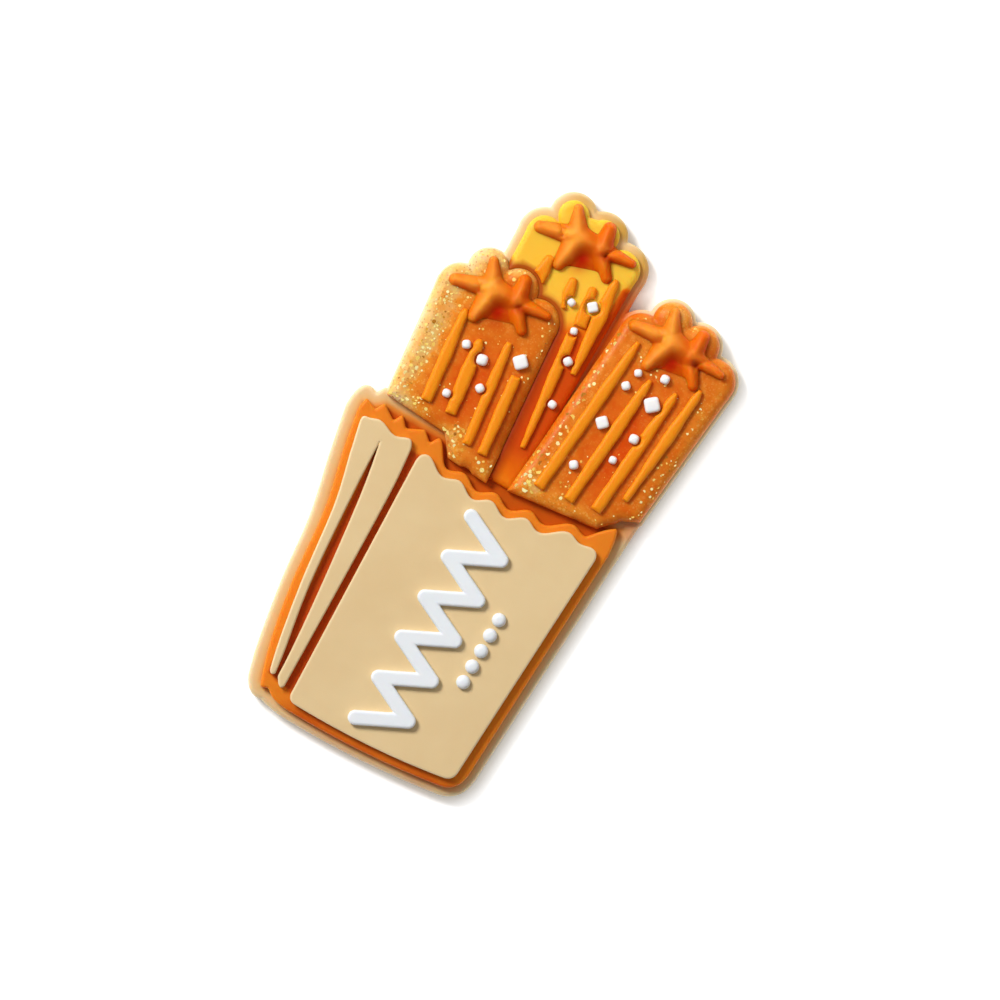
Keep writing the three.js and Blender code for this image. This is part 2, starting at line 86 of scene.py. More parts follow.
# Ridges: top and bottom of the centreline, greatest width, how far down that comes, tip and foot widths.
RIDGES = {
    "left": [
        ((-7.9, 10), (-7.15, 3), 0.9, 0.5, 0.3, 0.8),
        ((-5.97, 8.65), (-5.2, 3.05), 1.05, 0.42, 0.3, 0.8),
        ((-4.1, 9.45), (-3.15, 1.75), 0.78, 0.3, 0.35, 0.68),
        ((-2.52, 7.62), (-1.87, 1.7), 0.86, 0.4, 0.7, 0.7),
    ],
    "right": [
        ((3.7, 14), (2.7, 1.7), 0.86, 0.3, 0.3, 0.82),
        ((5.75, 12.1), (4.97, 1.95), 0.92, 0.35, 0.3, 0.78),
        ((7.78, 12.2), (6.97, 2.25), 0.9, 0.5, 0.3, 0.82),
        ((9.17, 13.22), (8.4, 3.9), 0.86, 0.45, 0.3, 0.45),
    ],
    "back": [
        ((-4.6, 16.2), (-4.6, 14.2), 1.0, 0.6, 0.3, 1.0),
        ((-2.45, 15.65), (-2.05, 13.35), 0.85, 0.5, 0.3, 0.3),
        ((-0.95, 15.75), (-0.4, 12.85), 0.9, 0.5, 0.3, 0.95),
        ((0.2, 17), (0.85, 9.7), 1.05, 0.4, 0.3, 0.45),
        ((-0.6, 12.2), (0.35, 3.5), 0.85, 0.35, 0.75, 0.4),
    ],
}
RIDGE_RISE = 0.4

# Star arms round a star's centre: root, tip, root width, tip width.
STAR_ARMS = [
    ((-0.7, 0.2), (-1.6, 1.95), 1.6, 0.5),
    ((-0.8, 0.2), (-3.3, -0.5), 1.3, 0.7),
    ((-0.55, 0.0), (-0.9, -2.1), 1.9, 0.75),
    ((-0.4, 0.2), (1.3, 0.3), 1.6, 1.2),
    ((1.2, 0.4), (1.0, 1.8), 1.3, 0.8),
    ((1.3, 0.3), (3.55, 0.45), 1.1, 0.45),
    ((1.2, 0.1), (2.5, -1.3), 1.0, 0.6),
]
STAR_RISE = 0.8
ARM_SPREAD = 0.1  # how far an arm's foot runs out past its nominal width
# The low web between two of the arms, and how high it stands.
STAR_WEB = [(-0.9, -0.1), (1.0, 0.1), (2.1, -1.1), (0.7, -1.55), (-0.6, -2.0)]
WEB_RISE = 0.16

# Sugar grains: x, y, radius. The largest are crystals set cornerwise.
GRAINS = {
    "left": [
        (-6.65, 7.85, 0.32), (-5.15, 7.45, 0.4), (-4.3, 5.65, 0.32), (-6.15, 4.2, 0.3), (-2.75, 8.65, 0.58),
    ],
    "right": [
        (4.75, 12.1, 0.28), (6.6, 12.65, 0.33), (4.45, 10.9, 0.32), (6.7, 10.65, 0.62), (4.3, 7.85, 0.5),
        (6.8, 7.95, 0.35), (6.25, 5.95, 0.28), (4.05, 4.3, 0.33),
    ],
    "back": [
        (-1.75, 14.05, 0.28), (-0.3, 14.5, 0.43), (-0.6, 12.4, 0.27), (0.1, 10.35, 0.33), (0.65, 7.2, 0.3),
    ],
}
LEAST_CRYSTAL = 0.42
GRAIN_RISE = 0.5
GRAIN_CLEARANCE = 0.16  # between a grain and the ridge that is cut round it

# The panel's wavy mouth: its turning points from right to left.
MOUTH_WAVE = [
    (8.1, -0.1), (7.2, -0.25), (6.2, 0.05), (4.2, -1), (3.1, -0.6), (1.65, -1.3),
    (0.35, -0.75), (-0.9, -1.3), (-2.3, -0.65), (-3.45, -1), (-5.1, -0.2),
]
LINER_STEP = 0.62  # how far the liner's mouth stands above the panel's
# The liner's teeth, from right to left: each one's peak and the notch beyond it.
TEETH = [
    ((-5.05, 1.25), (-5.45, 0.6)),
    ((-6.15, 1.25), (-7.4, 0.65)),
    ((-8.05, 1.4), (-8.42, 0.68)),
    ((-9.55, 1.45), (-9.9, 0.75)),
    ((-10.85, 1.15), (-10.98, 0.2)),
]

# The liner between the pleats and the panel, where painted shade makes its colour deepest.
SHADED_GAPS = [(-8.5, -0.9), (-6.4, -0.5), (-5, -0.5), (-4.8, -19.4), (-7.2, -18.9)]

ZIGZAG = {"left": -0.35, "right": 3.0, "top": -2.4, "bottom": -18.6, "strokes": 10, "width": 1.05}
DROPS = {"x": 4.95, "top": -7.7, "bottom": -12.7, "count": 5, "radius": 0.5}

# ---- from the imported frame


def top_of(node):
    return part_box(node)[1].z / MM


BACKING_TOP = top_of("backing")
LINER_TOP = top_of("liner")
PANEL_TOP = top_of("front_panel")
LABEL_TOP = top_of("label_zigzag")
CHURRO_TOP = {side: top_of(f"churro_{side}") for side in CHURROS}

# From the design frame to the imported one: where the label's first drop went.
_drop_low, _drop_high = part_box("label_drop_1")
_drop = (_drop_low + _drop_high) / (2 * MM)
SHIFT = (_drop.x - DROPS["x"], _drop.y - DROPS["top"])

# ---- plans: functions from x and y to the distance outside a shape, negative inside


def disc(x0, y0, radius):
    return lambda x, y: np.hypot(x - x0, y - y0) - radius


def polygon(points):
    corners = np.array(points, float)

    def distance(x, y):
        nearest = np.full(x.shape, 1e9)
        inside = np.zeros(x.shape, bool)
        for (ax, ay), (bx, by) in zip(corners, np.roll(corners, -1, axis=0)):
            ex, ey = bx - ax, by - ay
            px, py = x - ax, y - ay
            t = np.clip((px * ex + py * ey) / (ex * ex + ey * ey), 0, 1)
            nearest = np.minimum(nearest, (px - ex * t) ** 2 + (py - ey * t) ** 2)
            if ay != by:
                inside ^= ((ay <= y) != (by <= y)) & (x < ax + (y - ay) * ex / (by - ay))
        return np.where(inside, -1, 1) * np.sqrt(nearest)

    return distance


def from_segment(x, y, start, end):
    """The distance of places from a straight line, and how far along it each one's nearest point is."""
    ex, ey = end[0] - start[0], end[1] - start[1]
    px, py = x - start[0], y - start[1]
    t = np.clip((px * ex + py * ey) / (ex * ex + ey * ey), 0, 1)
    return np.hypot(px - ex * t, py - ey * t), t


def stroke(start, end, width):
    return lambda x, y: from_segment(x, y, start, end)[0] - width / 2


def union(*plans):
    return lambda x, y: np.minimum.reduce([plan(x, y) for plan in plans])


def blend_union(plans, softness):
    """A union whose inner corners are filled with fillets about as wide as the softness."""
    def distance(x, y):
        total = 0
        for plan in plans:
            total = total + np.exp(-plan(x, y) / softness)
        return -softness * np.log(total)

    return distance


def grow(plan, margin):
    return lambda x, y: plan(x, y) - margin


def cut(plan, *others):
    return lambda x, y: np.maximum.reduce([plan(x, y)] + [-other(x, y) for other in others])


def blotches(zones, x, y, power):
    """How strongly places lie in soft oval zones, each an x, y, half width, half height and amount. The
    greater the power, the squarer the zones' tops and bottoms."""
    total = 0
    for cx, cy, half_x, half_y, amount in zones:
        total = total + amount * np.exp(-((x - cx) / half_x) ** 2 - np.abs((y - cy) / half_y) ** power)
    return total


def worn(plan, reach):
    """The same plan with its corners rounded, by averaging over a ring of neighbours."""
    ring = [(reach * math.cos(k * math.pi / 4), reach * math.sin(k * math.pi / 4)) for k in range(8)]
    return lambda x, y: sum(plan(x + dx, y + dy) for dx, dy in ring) / len(ring)


def wavering(plan, amount, length, phase):
    """The same plan with slightly uneven edges."""
    def distance(x, y):
        slow = np.sin(y / length * 2 + x / length + phase)
        quick = np.sin(y / length * 5.3 - x / length * 1.7 + 2.3 * phase)
        return plan(x, y) + amount * (slow + 0.5 * quick)

    return distance


# ---- outlines


def quadratic(start, control, end, steps=8):
    t = np.linspace(0, 1, steps + 1)[1:, None]
    start, control, end = (np.array(p, float) for p in (start, control, end))
    return list(map(tuple, (1 - t) ** 2 * start + 2 * t * (1 - t) * control + t ** 2 * end))


def spline(start, points, steps=6):
    """A Catmull-Rom curve from the start through the points, without the start itself."""
    knots = np.array([start] + list(points), float)
    curve = []
    for i in range(len(knots) - 1):
        p1, p2 = knots[i], knots[i + 1]
        p0 = knots[max(i - 1, 0)]
        p3 = knots[min(i + 2, len(knots) - 1)]
        for k in range(1, steps + 1):
            t = k / steps
            v0, v1 = (p2 - p0) / 2, (p3 - p1) / 2
            curve.append(tuple(
                (2 * p1 - 2 * p2 + v0 + v1) * t ** 3
                + (-3 * p1 + 3 * p2 - 2 * v0 - v1) * t ** 2
                + v0 * t + p1
            ))
    return curve


def wave(turns, steps=10):
    """A smooth wave through its turning points, which are its crests and troughs in order."""
    points = []
    for start, end in zip(turns, turns[1:]):
        for k in range(steps):
            t = k / steps
            level = (1 - math.cos(math.pi * t)) / 2
            points.append((start[0] + (end[0] - start[0]) * t, start[1] + (end[1] - start[1]) * level))
    return points + [turns[-1]]


def outline(start, *moves):
    """A closed outline. Each move is a point to go straight to, a pair of points for a curve that sets off
    towards the first and ends at the second, or a list of points for a smooth curve through them."""
    points = [start]
    for move in moves:
        if isinstance(move, list):
            points += spline(points[-1], move)
        elif isinstance(move[0], tuple):
            points += quadratic(points[-1], *move)
        else:
            points.append(move)
    return points[:-1] if points[-1] == start else points


panel_plan = polygon(outline(
    (-5.67, -1), (-5.08, -19.3), ((-5.06, -19.95), (-4.4, -19.96)), ((1.5, -20.1), (7, -19.2)),
    ((7.75, -19.1), (7.8, -18.4)), (8.68, -0.9), ((8.7, -0.15), MOUTH_WAVE[0]), *wave(MOUTH_WAVE)[1:],
    ((-5.65, -0.25), (-5.67, -1)),
))

pleats_plan = polygon(outline(
    *wave([(-6.75, 0.16), (-7.8, -0.17), (-9.2, 0.25), (-10.15, 0)]), ((-10.5, -0.02), (-10.42, -0.5)),
    [(-9.9, -2.8), (-9.05, -6.5), (-8.4, -12), (-7.7, -16.3), (-7.2, -18.6)],
    ((-7.02, -19.1), (-6.72, -18.75)),
    [(-6.95, -17), (-7.75, -12), (-8.3, -5), (-8.48, -1.1)],
    [(-7.8, -5), (-7, -12), (-6.6, -16.5), (-6.48, -18.8)],
    ((-5.95, -19.75), (-5.72, -19.2)),
    [(-5.85, -12), (-6.05, -4), (-6.32, -0.55)],
    ((-6.45, 0.1), (-6.75, 0.16)),
))

teeth = [corner for tooth in TEETH for corner in tooth]
liner_plan = polygon(outline(
    (9.35, 0), ((9.25, 1.4), (8.95, 1.95)), ((8.4, 1.75), (7.3, 0.37)),
    *wave([(x, y + LINER_STEP) for x, y in MOUTH_WAVE[1:-1]] + teeth[:1]), *teeth[1:],
    [(-10.4, -3), (-9.5, -7), (-8.95, -12.5), (-8.15, -17), (-7.2, -20.1)],
    (-6.65, -19.9), (-6.2, -20.25), ((-5.5, -20.58), (-4.4, -20.58)), ((1.5, -20.7), (7.2, -19.82)),
    ((8.4, -19.6), (8.55, -18.2)),
))

carton_backing_plan = polygon(outline(
    (10.2, 2.9), (-10.1, 2.4), (-10.45, 1.8), ((-11.87, 2.6), (-11.87, 0)),
    [(-11.16, -3.6), (-10.2, -8), (-9.7, -12.6), (-8.92, -17.4), (-8.33, -19.8)],
    ((-7.75, -21.1), (-6.7, -20.85)), ((-5.6, -21.2), (-4.4, -21.2)), ((1.5, -21.32), (7.4, -20.42)),
    ((9.02, -20.12), (9.15, -18.2)),
))


def from_end(churro, x, y):
    """A point of a churro's end frame, round the end's centre, in the design frame."""
    angle = math.radians(churro["turn"])
    cos, sin = math.cos(angle), math.sin(angle)
    return (churro["centre"][0] + x * cos - y * sin, churro["centre"][1] + x * sin + y * cos)


def churro_plan(churro, margin):
    sides = polygon([churro["centre"]] + churro["sides"])
    lobes = [disc(*from_end(churro, x, y), radius + churro["spread"]) for x, y, radius in LOBES]
    x, y, radius = END_MIDDLE
    middle = disc(*from_end(churro, x, y), radius)
    return grow(blend_union([sides, middle, *lobes], OUTLINE_FILLET), margin)


def ridge_plan(ridge):
    top, bottom, wide, at, tip, foot = ridge
    start = np.array(top, float)
    run = np.array(bottom, float) - start
    side = np.array((-run[1], run[0])) / np.hypot(*run)
    widths = [(0, tip), (0.06, (tip + wide) / 2), (at, wide), (1, foot)]
    edges = [[tuple(start + run * t + side * sign * width / 2) for t, width in widths] for sign in (1, -1)]
    return polygon(edges[0] + edges[1][::-1])


# ---- meshes

# For each pattern of a cell's corners inside the level, which of its edges the contour joins. The corners
# count 1, 2, 4, 8 anticlockwise from the lower left, and the edges are south, east, north, west.
CELL_PATHS = {
    1: ["SW"], 2: ["ES"], 3: ["EW"], 4: ["NE"], 5: ["SW", "NE"], 6: ["NS"], 7: ["NW"], 8: ["WN"],
    9: ["SN"], 10: ["ES", "WN"], 11: ["EN"], 12: ["WE"], 13: ["SE"], 14: ["WS"],
}


def contours(values, xs, ys, level, spacing):
    """The closed loops where the values cross the level, each with the lower side on its left."""
    step = xs[1] - xs[0]
    f = values - level
    least = 0.03 * step
    f = np.where(np.abs(f) < least, np.where(f < 0, -least, least), f)
    low = f < 0
    rows, columns = f.shape
    code = low[:-1, :-1] * 1 + low[:-1, 1:] * 2 + low[1:, 1:] * 4 + low[1:, :-1] * 8
    after = {}
    for pattern, paths in CELL_PATHS.items():
        js, is_ = np.nonzero(code == pattern)
        for j, i in zip(js.tolist(), is_.tolist()):
            ids = {
                "S": 2 * (j * columns + i), "N": 2 * ((j + 1) * columns + i),
                "W": 2 * (j * columns + i) + 1, "E": 2 * (j * columns + i + 1) + 1,
            }
            for path in paths:
                after[ids[path[0]]] = ids[path[1]]

    def place(edge):
        cell, upright = divmod(edge, 2)
        j, i = divmod(cell, columns)
        if upright:
            t = f[j, i] / (f[j, i] - f[j + 1, i])
            return xs[i], ys[j] + step * t
        t = f[j, i] / (f[j, i] - f[j, i + 1])
        return xs[i] + step * t, ys[j]

    loops = []
    while after:
        first = next(iter(after))
        edge = after.pop(first)
        loop = [place(first)]
        while edge != first:
            point = place(edge)
            if math.dist(point, loop[-1]) > spacing:
                loop.append(point)
            edge = after.pop(edge)
        if math.dist(loop[0], loop[-1]) < spacing:
            loop.pop()
        if len(loop) > 5:
            loops.append(loop)
    return loops


def within(points, loops):
    """Which points lie inside the loops, by counting crossings."""
    x, y = points[:, 0], points[:, 1]
    inside = np.zeros(len(points), bool)
    for loop in loops:
        corners = np.array(loop)
        for (ax, ay), (bx, by) in zip(corners, np.roll(corners, -1, axis=0)):
            if ay != by:
                inside ^= ((ay <= y) != (by <= y)) & (x < ax + (y - ay) * (bx - ax) / (by - ay))
    return inside


def triangulate(loops_by_depth, extra, plan):
    """Triangles over the area of the outermost loops, with a vertex at each loop point and extra point.
    Returns the points, their depths inside the plan, the triangles, and the outer loops as indices."""
    points, depths, edges, outer = [], [], [], []
    for depth, loops in loops_by_depth:
        for loop in loops:
            start = len(points)
            points += loop
            depths += [depth] * len(loop)
            edges += [(start + k, start + (k + 1) % len(loop)) for k in range(len(loop))]
            if depth == 0:
                outer.append(range(start, start + len(loop)))
    if len(extra):
        depths += (-plan(extra[:, 0], extra[:, 1])).tolist()
        points += [tuple(p) for p in extra]
    result = delaunay_2d_cdt([Vector(p) for p in points], edges, [], 0, 1e-6)
    placed = np.array([tuple(p) for p in result[0]])
    came_from = result[3]
    out_depths = np.array([
        depths[ids[0]] if ids else -float(plan(np.array([p[0]]), np.array([p[1]]))[0])
        for ids, p in zip(came_from, placed)
    ])
    new_index = {old: new for new, ids in enumerate(came_from) for old in ids}
    triangles = np.array(result[2])
    a, b, c = (placed[triangles[:, k]] for k in range(3))
    turn = (b[:, 0] - a[:, 0]) * (c[:, 1] - a[:, 1]) - (b[:, 1] - a[:, 1]) * (c[:, 0] - a[:, 0])
    triangles[turn < 0] = triangles[turn < 0][:, ::-1]
    triangles = triangles[within((a + b + c) / 3, [[points[k] for k in loop] for loop in outer])]
    return placed, out_depths, triangles, [[new_index[k] for k in loop] for loop in outer]


def lattice(plan, box, spacing, least_depth):
    """Points in even rows over the inside of the plan, for the inner part of a relief."""
    x0, y0, x1, y1 = box
    ys = np.arange(y0, y1, spacing * math.sqrt(3) / 2)
    rows = []
    for j, y in enumerate(ys):
        xs = np.arange(x0 + (j % 2) * spacing / 2, x1, spacing)
        rows.append(np.stack([xs, np.full(len(xs), y)], axis=1))
    points = np.concatenate(rows)
    return points[plan(points[:, 0], points[:, 1]) < -least_depth]


def box_of(plan, step=0.25):
    """The box round a plan, with a margin, found on a coarse grid over the charm."""
    x, y = np.meshgrid(np.arange(-12.5, 12.5, step), np.arange(-22, 22, step))
    inside = plan(x, y) < step
    return (
        x[inside].min() - 2 * step, y[inside].min() - 2 * step,
        x[inside].max() + 2 * step, y[inside].max() + 2 * step,
    )


def shoulder_drop(depth, width, height):
    """How far below its top a rounded edge lies at a depth inside its plan."""
    t = np.clip(1 - depth / width, 0, 1)
    return height * (1 - np.sqrt(1 - t * t))


FOOT_STEPS = 3
FLAT_MARGIN = 0.08  # from the end of a shoulder to the ring that bounds the flat top


def ring_depths(width, steps):
    """Depths of the rings that round an edge, at even angles of a quarter circle."""
    return [width * (1 - math.cos(math.pi / 2 * k / steps)) for k in range(1, steps + 1)]


def relief(name, plan, bottom, top, shoulder, grid=0.06, steps=5, fill=None, rise=None, foot=0):
    """A closed body over a plan. Its upper edge is rounded by the shoulder, a width or a width and height,
    and its lower edge by the foot. With a fill spacing it has inner points too, and rise, a function of
    x, y and depth, is added to its top."""
    width, height = shoulder if isinstance(shoulder, tuple) else (shoulder, shoulder)
    box = box_of(plan)
    xs, ys = np.arange(box[0], box[2], grid), np.arange(box[1], box[3], grid)
    values = plan(*np.meshgrid(xs, ys))

    def rings(depths):
        return [(depth, contours(values, xs, ys, -depth, 0.7 * grid)) for depth in depths]

    outer = rings([0])
    flat_from = width + FLAT_MARGIN
    none = np.zeros((0, 2))
    extra = lattice(plan, box, fill, flat_from + fill * 0.5) if fill else none
    upper_rings = outer + rings(ring_depths(width, steps) + [flat_from])
    flat, depth, faces, loops = triangulate(upper_rings, extra, plan)
    z = top - shoulder_drop(depth, width, height)
    if rise is not None:
        z = z + rise(flat[:, 0], flat[:, 1], depth)
    vertices = [np.column_stack([flat, z])]
    inward = [depth]
    polygons = faces.tolist()
    count = len(flat)

    foot_rings = outer + (rings(ring_depths(foot, FOOT_STEPS)) if foot else [])
    under, under_depth, under_faces, under_loops = triangulate(foot_rings, none, plan)
    under_z = bottom + (shoulder_drop(under_depth, foot, foot) if foot else 0 * under_depth)
    vertices.append(np.column_stack([under, under_z]))
    inward.append(under_depth)
    polygons += (under_faces[:, ::-1] + count).tolist()
    for above, below in zip(loops, under_loops):
        for k in range(len(above)):
            a, b = above[k], above[(k + 1) % len(above)]
            c, d = below[k] + count, below[(k + 1) % len(below)] + count
            polygons.append([c, d, b, a])
    return mesh_piece(name, np.concatenate(vertices), polygons, {"inward": np.concatenate(inward)})


def add_object(name, data):
    piece = bpy.data.objects.new(name, data)
    bpy.context.scene.collection.objects.link(piece)
    return piece


def mesh_piece(name, vertices, polygons, attributes=None, smooth=True):
    """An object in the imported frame, from vertices in the design frame."""
    mesh = bpy.data.meshes.new(name)
    placed = (np.asarray(vertices) + np.array([SHIFT[0], SHIFT[1], 0])) * MM
    mesh.from_pydata([tuple(v) for v in placed], [], polygons)
    mesh.validate()
    for face in mesh.polygons:
        face.use_smooth = smooth
    mesh.set_sharp_from_angle(angle=math.radians(40))
    piece = add_object(name, mesh)
    for key, values in (attributes or {}).items():
        add_attribute(piece, key, values)
    return piece


def add_attribute(piece, name, values):
    layer = piece.data.attributes.new(name, "FLOAT", "POINT")
    layer.data.foreach_set("value", np.asarray(values, np.float32))


def design_places(piece):
    """The x, y and z of a piece's vertices in the design frame."""
    co = np.zeros(len(piece.data.vertices) * 3, np.float32)
    piece.data.vertices.foreach_get("co", co)
    co = co.reshape(-1, 3) / MM
    return co[:, 0] - SHIFT[0], co[:, 1] - SHIFT[1], co[:, 2]


def show(piece, shader, node=None):
    """Puts a piece on the charm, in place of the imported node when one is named."""
    piece.data.materials.append(shader.material)
    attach(piece, "root")
    if node:
        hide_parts(node)


# ---- materials


def linear(red, green, blue):
    """A colour given in 0 to 255 as it looks, for a shader."""
    def channel(value):
        value /= 255
        return value / 12.92 if value <= 0.04045 else ((value + 0.055) / 1.055) ** 2.4

    return (channel(red), channel(green), channel(blue), 1)


class Shader:
    """A Principled material with helpers for its nodes. Sizes are in millimetres."""

    def __init__(self, name, roughness, subsurface=0.0, radius=(1, 1, 1), scale=0.0, gloss=0.5):
        self.material = bpy.data.materials.new(name)
        self.material.use_nodes = True
        self.tree = self.material.node_tree
        self.place = self.add("TexCoord").outputs["Object"]
        self.feed("Roughness", roughness)
        self.feed("Subsurface Weight", subsurface)
        self.feed("Subsurface Radius", radius)
        self.feed("Subsurface Scale", scale * MM)
        self.feed("Specular IOR Level", gloss)

    def fill(self, socket, value):
        """Links the socket to another one, or sets it to a number or colour."""
        if isinstance(value, bpy.types.NodeSocket):
            self.tree.links.new(value, socket)
        else:
            socket.default_value = value

    def add(self, kind, inputs=None):
        node = self.tree.nodes.new("ShaderNode" + kind)
        for key, value in (inputs or {}).items():
            self.fill(node.inputs[key], value)
        return node

    def feed(self, key, value):
        """Gives the surface itself a value."""
        self.fill(self.tree.nodes["Principled BSDF"].inputs[key], value)

    def noise(self, size, detail=2.0, roughness=0.5):
        inputs = {"Scale": 1 / (size * MM), "Detail": detail, "Roughness": roughness, "Vector": self.place}
        return self.add("TexNoise", inputs).outputs["Fac"]

    def attribute(self, name):
        node = self.add("Attribute")
        node.attribute_name = name
        return node.outputs["Fac"]

    def ramp(self, value, stops):
        """A colour for a value, from (position, colour) stops."""
        node = self.add("ValToRGB", {"Fac": value})
        elements = node.color_ramp.elements
        while len(elements) < len(stops):
            elements.new(0.5)
        for element, (position, colour) in zip(elements, stops):
            element.position = position
            element.color = linear(*colour)
        return node.outputs["Color"]

    def math(self, operation, first, second):
        node = self.add("Math", {0: first, 1: second})
        node.operation = operation
        return node.outputs["Value"]

    def scaled(self, value, low, high, to_low=0.0, to_high=1.0):
        inputs = {"Value": value, "From Min": low, "From Max": high, "To Min": to_low, "To Max": to_high}
        return self.add("MapRange", inputs).outputs["Result"]

    def unsettled(self, value, noise, swing, low=0.3, high=0.7):
        """The value, moved down or up by as much as the swing, as the noise goes from low to high."""
        return self.math("ADD", value, self.scaled(noise, low, high, -swing, swing))

    def mix(self, share, first, second):
        node = self.add("Mix")
        node.data_type = "RGBA"
        for key, value in (("Factor_Float", share), ("A_Color", first), ("B_Color", second)):
            self.fill(next(s for s in node.inputs if s.identifier == key), value)
        return next(s for s in node.outputs if s.identifier == "Result_Color")

    def tint_where(self, tone, key, colour):
        """The tone, turned into the colour where the attribute called key is high."""
        return self.mix(self.attribute(key), tone, linear(*colour))

    def flecks(self, size, share, spread):
        """Round flecks: each cell of the given size holds one with the given chance. Returns a mask and a
        random number for each fleck."""
        cells = self.add("TexVoronoi", {"Scale": 1 / (size * MM), "Vector": self.place})
        draws = self.add("SeparateColor", {"Color": cells.outputs["Color"]})
        near = self.math("LESS_THAN", cells.outputs["Distance"], spread)
        chosen = self.math("LESS_THAN", draws.outputs["Red"], share)
        return self.math("MULTIPLY", near, chosen), draws.outputs["Green"]

    def colour(self, socket):
        self.feed("Base Color", socket)

    def roughen(self, value, low, high):
        self.feed("Roughness", self.scaled(value, 0.3, 0.7, low, high))

    def bump(self, *layers):
        """Bumps from (height, distance) layers, each on top of the one before."""
        below = {}
        for height, distance in layers:
            node = self.add("Bump", {"Strength": 1.0, "Distance": distance * MM, "Height": height, **below})
            below = {"Normal": node.outputs["Normal"]}
        self.feed("Normal", below["Normal"])

    def skin(self, low, high, *bumps, patch=0.6):
        """Roughness between low and high in patches, over bumps of the given sizes and heights."""
        self.roughen(self.noise(patch, 3.0), low, high)
        self.bump(*[(self.noise(size), height) for size, height in bumps])


def soft_plastic(name, pale, deep, roughness, subsurface, edge=None):
    """Opaque soft plastic: two close tones in slow drifts, a fine skin and a slightly paler edge."""
    shader = Shader(name, roughness, subsurface, (1.0, 0.6, 0.35), 0.3)
    tone = shader.ramp(shader.noise(5.0, 3.0), [(0.35, deep), (0.65, pale)])
    if edge is not None:
        pale_edge = shader.scaled(shader.attribute("inward"), 0.0, 0.22, 1.0, 0.0)
        tone = shader.mix(shader.math("MULTIPLY", pale_edge, 0.6), tone, linear(*edge))
    shader.colour(tone)
    shader.skin(roughness - 0.06, roughness + 0.08, (0.12, 0.006), (1.4, 0.02))
    return shader


def half_clear_orange(name, key, stops, roughness):
    """Half-clear orange plastic, whose colour goes through the stops with the attribute called key."""
    shader = Shader(name, roughness, 0.6, (1.0, 0.25, 0.05), 0.5, gloss=0.15)
    shader.colour(shader.ramp(shader.unsettled(shader.attribute(key), shader.noise(1.6, 3.0), 0.08), stops))
    shader.skin(roughness - 0.06, roughness + 0.08, (0.12, 0.006), (1.2, 0.025))
    return shader


def star_material():
    """Half-clear orange through which light spreads, with painted shade: deep red between a star's arms and in
    their lee, and deeper low down.
    """
    shader = Shader("star_orange", 0.45, 0.9, (1.0, 0.16, 0.03), 0.8, gloss=0.08)
    tone = shader.ramp(shader.unsettled(shader.attribute("raised"), shader.noise(1.6, 3.0), 0.1), [
        (0.0, (222, 90, 0)), (0.35, (226, 114, 12)), (0.9, (248, 164, 58)),
    ])
    shader.colour(shader.tint_where(tone, "painted_lee_shade", (188, 24, 0)))
    shader.skin(0.36, 0.5, (0.12, 0.005), (1.0, 0.03))
    return shader


def backing_material():
    """Clear amber plastic: pale and thin at the rim, deep orange inside, with painted shade and a yellow tint
    in patches.
    """
    shader = Shader("backing_amber", 0.4, 0.4, (1.0, 0.55, 0.25), 0.6, gloss=0.12)
    depth = shader.unsettled(shader.attribute("inward"), shader.noise(1.2), 0.12, 0, 1)
    tone = shader.ramp(shader.scaled(depth, 0.0, 1.6), [
        (0.0, (232, 208, 166)), (0.4, (226, 188, 126)), (0.62, (222, 142, 52)), (0.85, (194, 86, 4)),
    ])
    # Painted shade in patches, and a yellow tint darkened with painted shade.
    tone = shader.tint_where(tone, "yellow_tint_and_shade", (204, 156, 50))
    shader.colour(shader.tint_where(tone, "painted_shade_orange", (214, 98, 2)))
    shader.skin(0.36, 0.48, (0.15, 0.005), (1.5, 0.03), patch=0.5)
    return shader


def glitter_body_material():
    """Clear amber plastic full of fine glitter, palest where the glitter is thickest and where light is
    painted, deeper where shade is painted.
    """
    shader = Shader("glitter_amber", 0.38, 0.65, (1.0, 0.32, 0.1), 0.7, gloss=0.15)
    # The glitter attribute carries painted light and painted shade as well as how thick the glitter lies.
    glitter_and_light = shader.attribute("glitter")
    haze = shader.noise(0.8, 4.0, 0.65)
    level = shader.math("MULTIPLY", shader.unsettled(glitter_and_light, haze, 0.12), 0.77)
    tone = shader.ramp(level, [
        (0.0, (214, 78, 0)), (0.27, (220, 112, 18)), (0.5, (236, 148, 44)), (0.75, (232, 192, 118)),
        (1.0, (230, 208, 172)),
    ])
    for size, share in ((0.15, 0.5), (0.26, 0.3)):
        mask, pick = shader.flecks(size, share, 0.42)
        fleck = shader.ramp(pick, [(0.3, (178, 86, 4)), (0.5, (255, 222, 120))])
        strength = shader.math("MULTIPLY", mask, shader.scaled(glitter_and_light, 0.3, 1.0, 0.05, 0.5))
        tone = shader.mix(strength, tone, fleck)
    # Painted shade next to the carton's mouth and in the lee of the star.
    tone = shader.tint_where(tone, "painted_shade", (190, 92, 20))
    shader.colour(shader.tint_where(tone, "painted_lee_shade", (188, 44, 0)))
    shader.roughen(haze, 0.32, 0.46)
    shader.bump((shader.noise(0.2), 0.008), (shader.noise(1.2), 0.04))
    return shader


def back_churro_material():
    """Golden yellow and orange down the stem, with painted shade: orange along the right edge, red-brown in
    the left churro's painted shadow, and red below the star.
    """
    shader = Shader("churro_yellow", 0.45, 0.6, (1.0, 0.3, 0.07), 0.7, gloss=0.12)
    tone = shader.ramp(shader.unsettled(shader.attribute("stem"), shader.noise(1.5), 0.1, 0, 1), [
        (0.0, (250, 196, 62)), (0.4, (248, 180, 50)), (0.65, (234, 114, 0)), (1.0, (210, 76, 0)),
    ])
    tone = shader.tint_where(tone, "painted_shade", (168, 56, 0))
    shader.colour(shader.tint_where(tone, "painted_lee_shade", (208, 50, 0)))
    shader.skin(0.4, 0.52, (0.15, 0.006), (1.4, 0.03))
    return shader


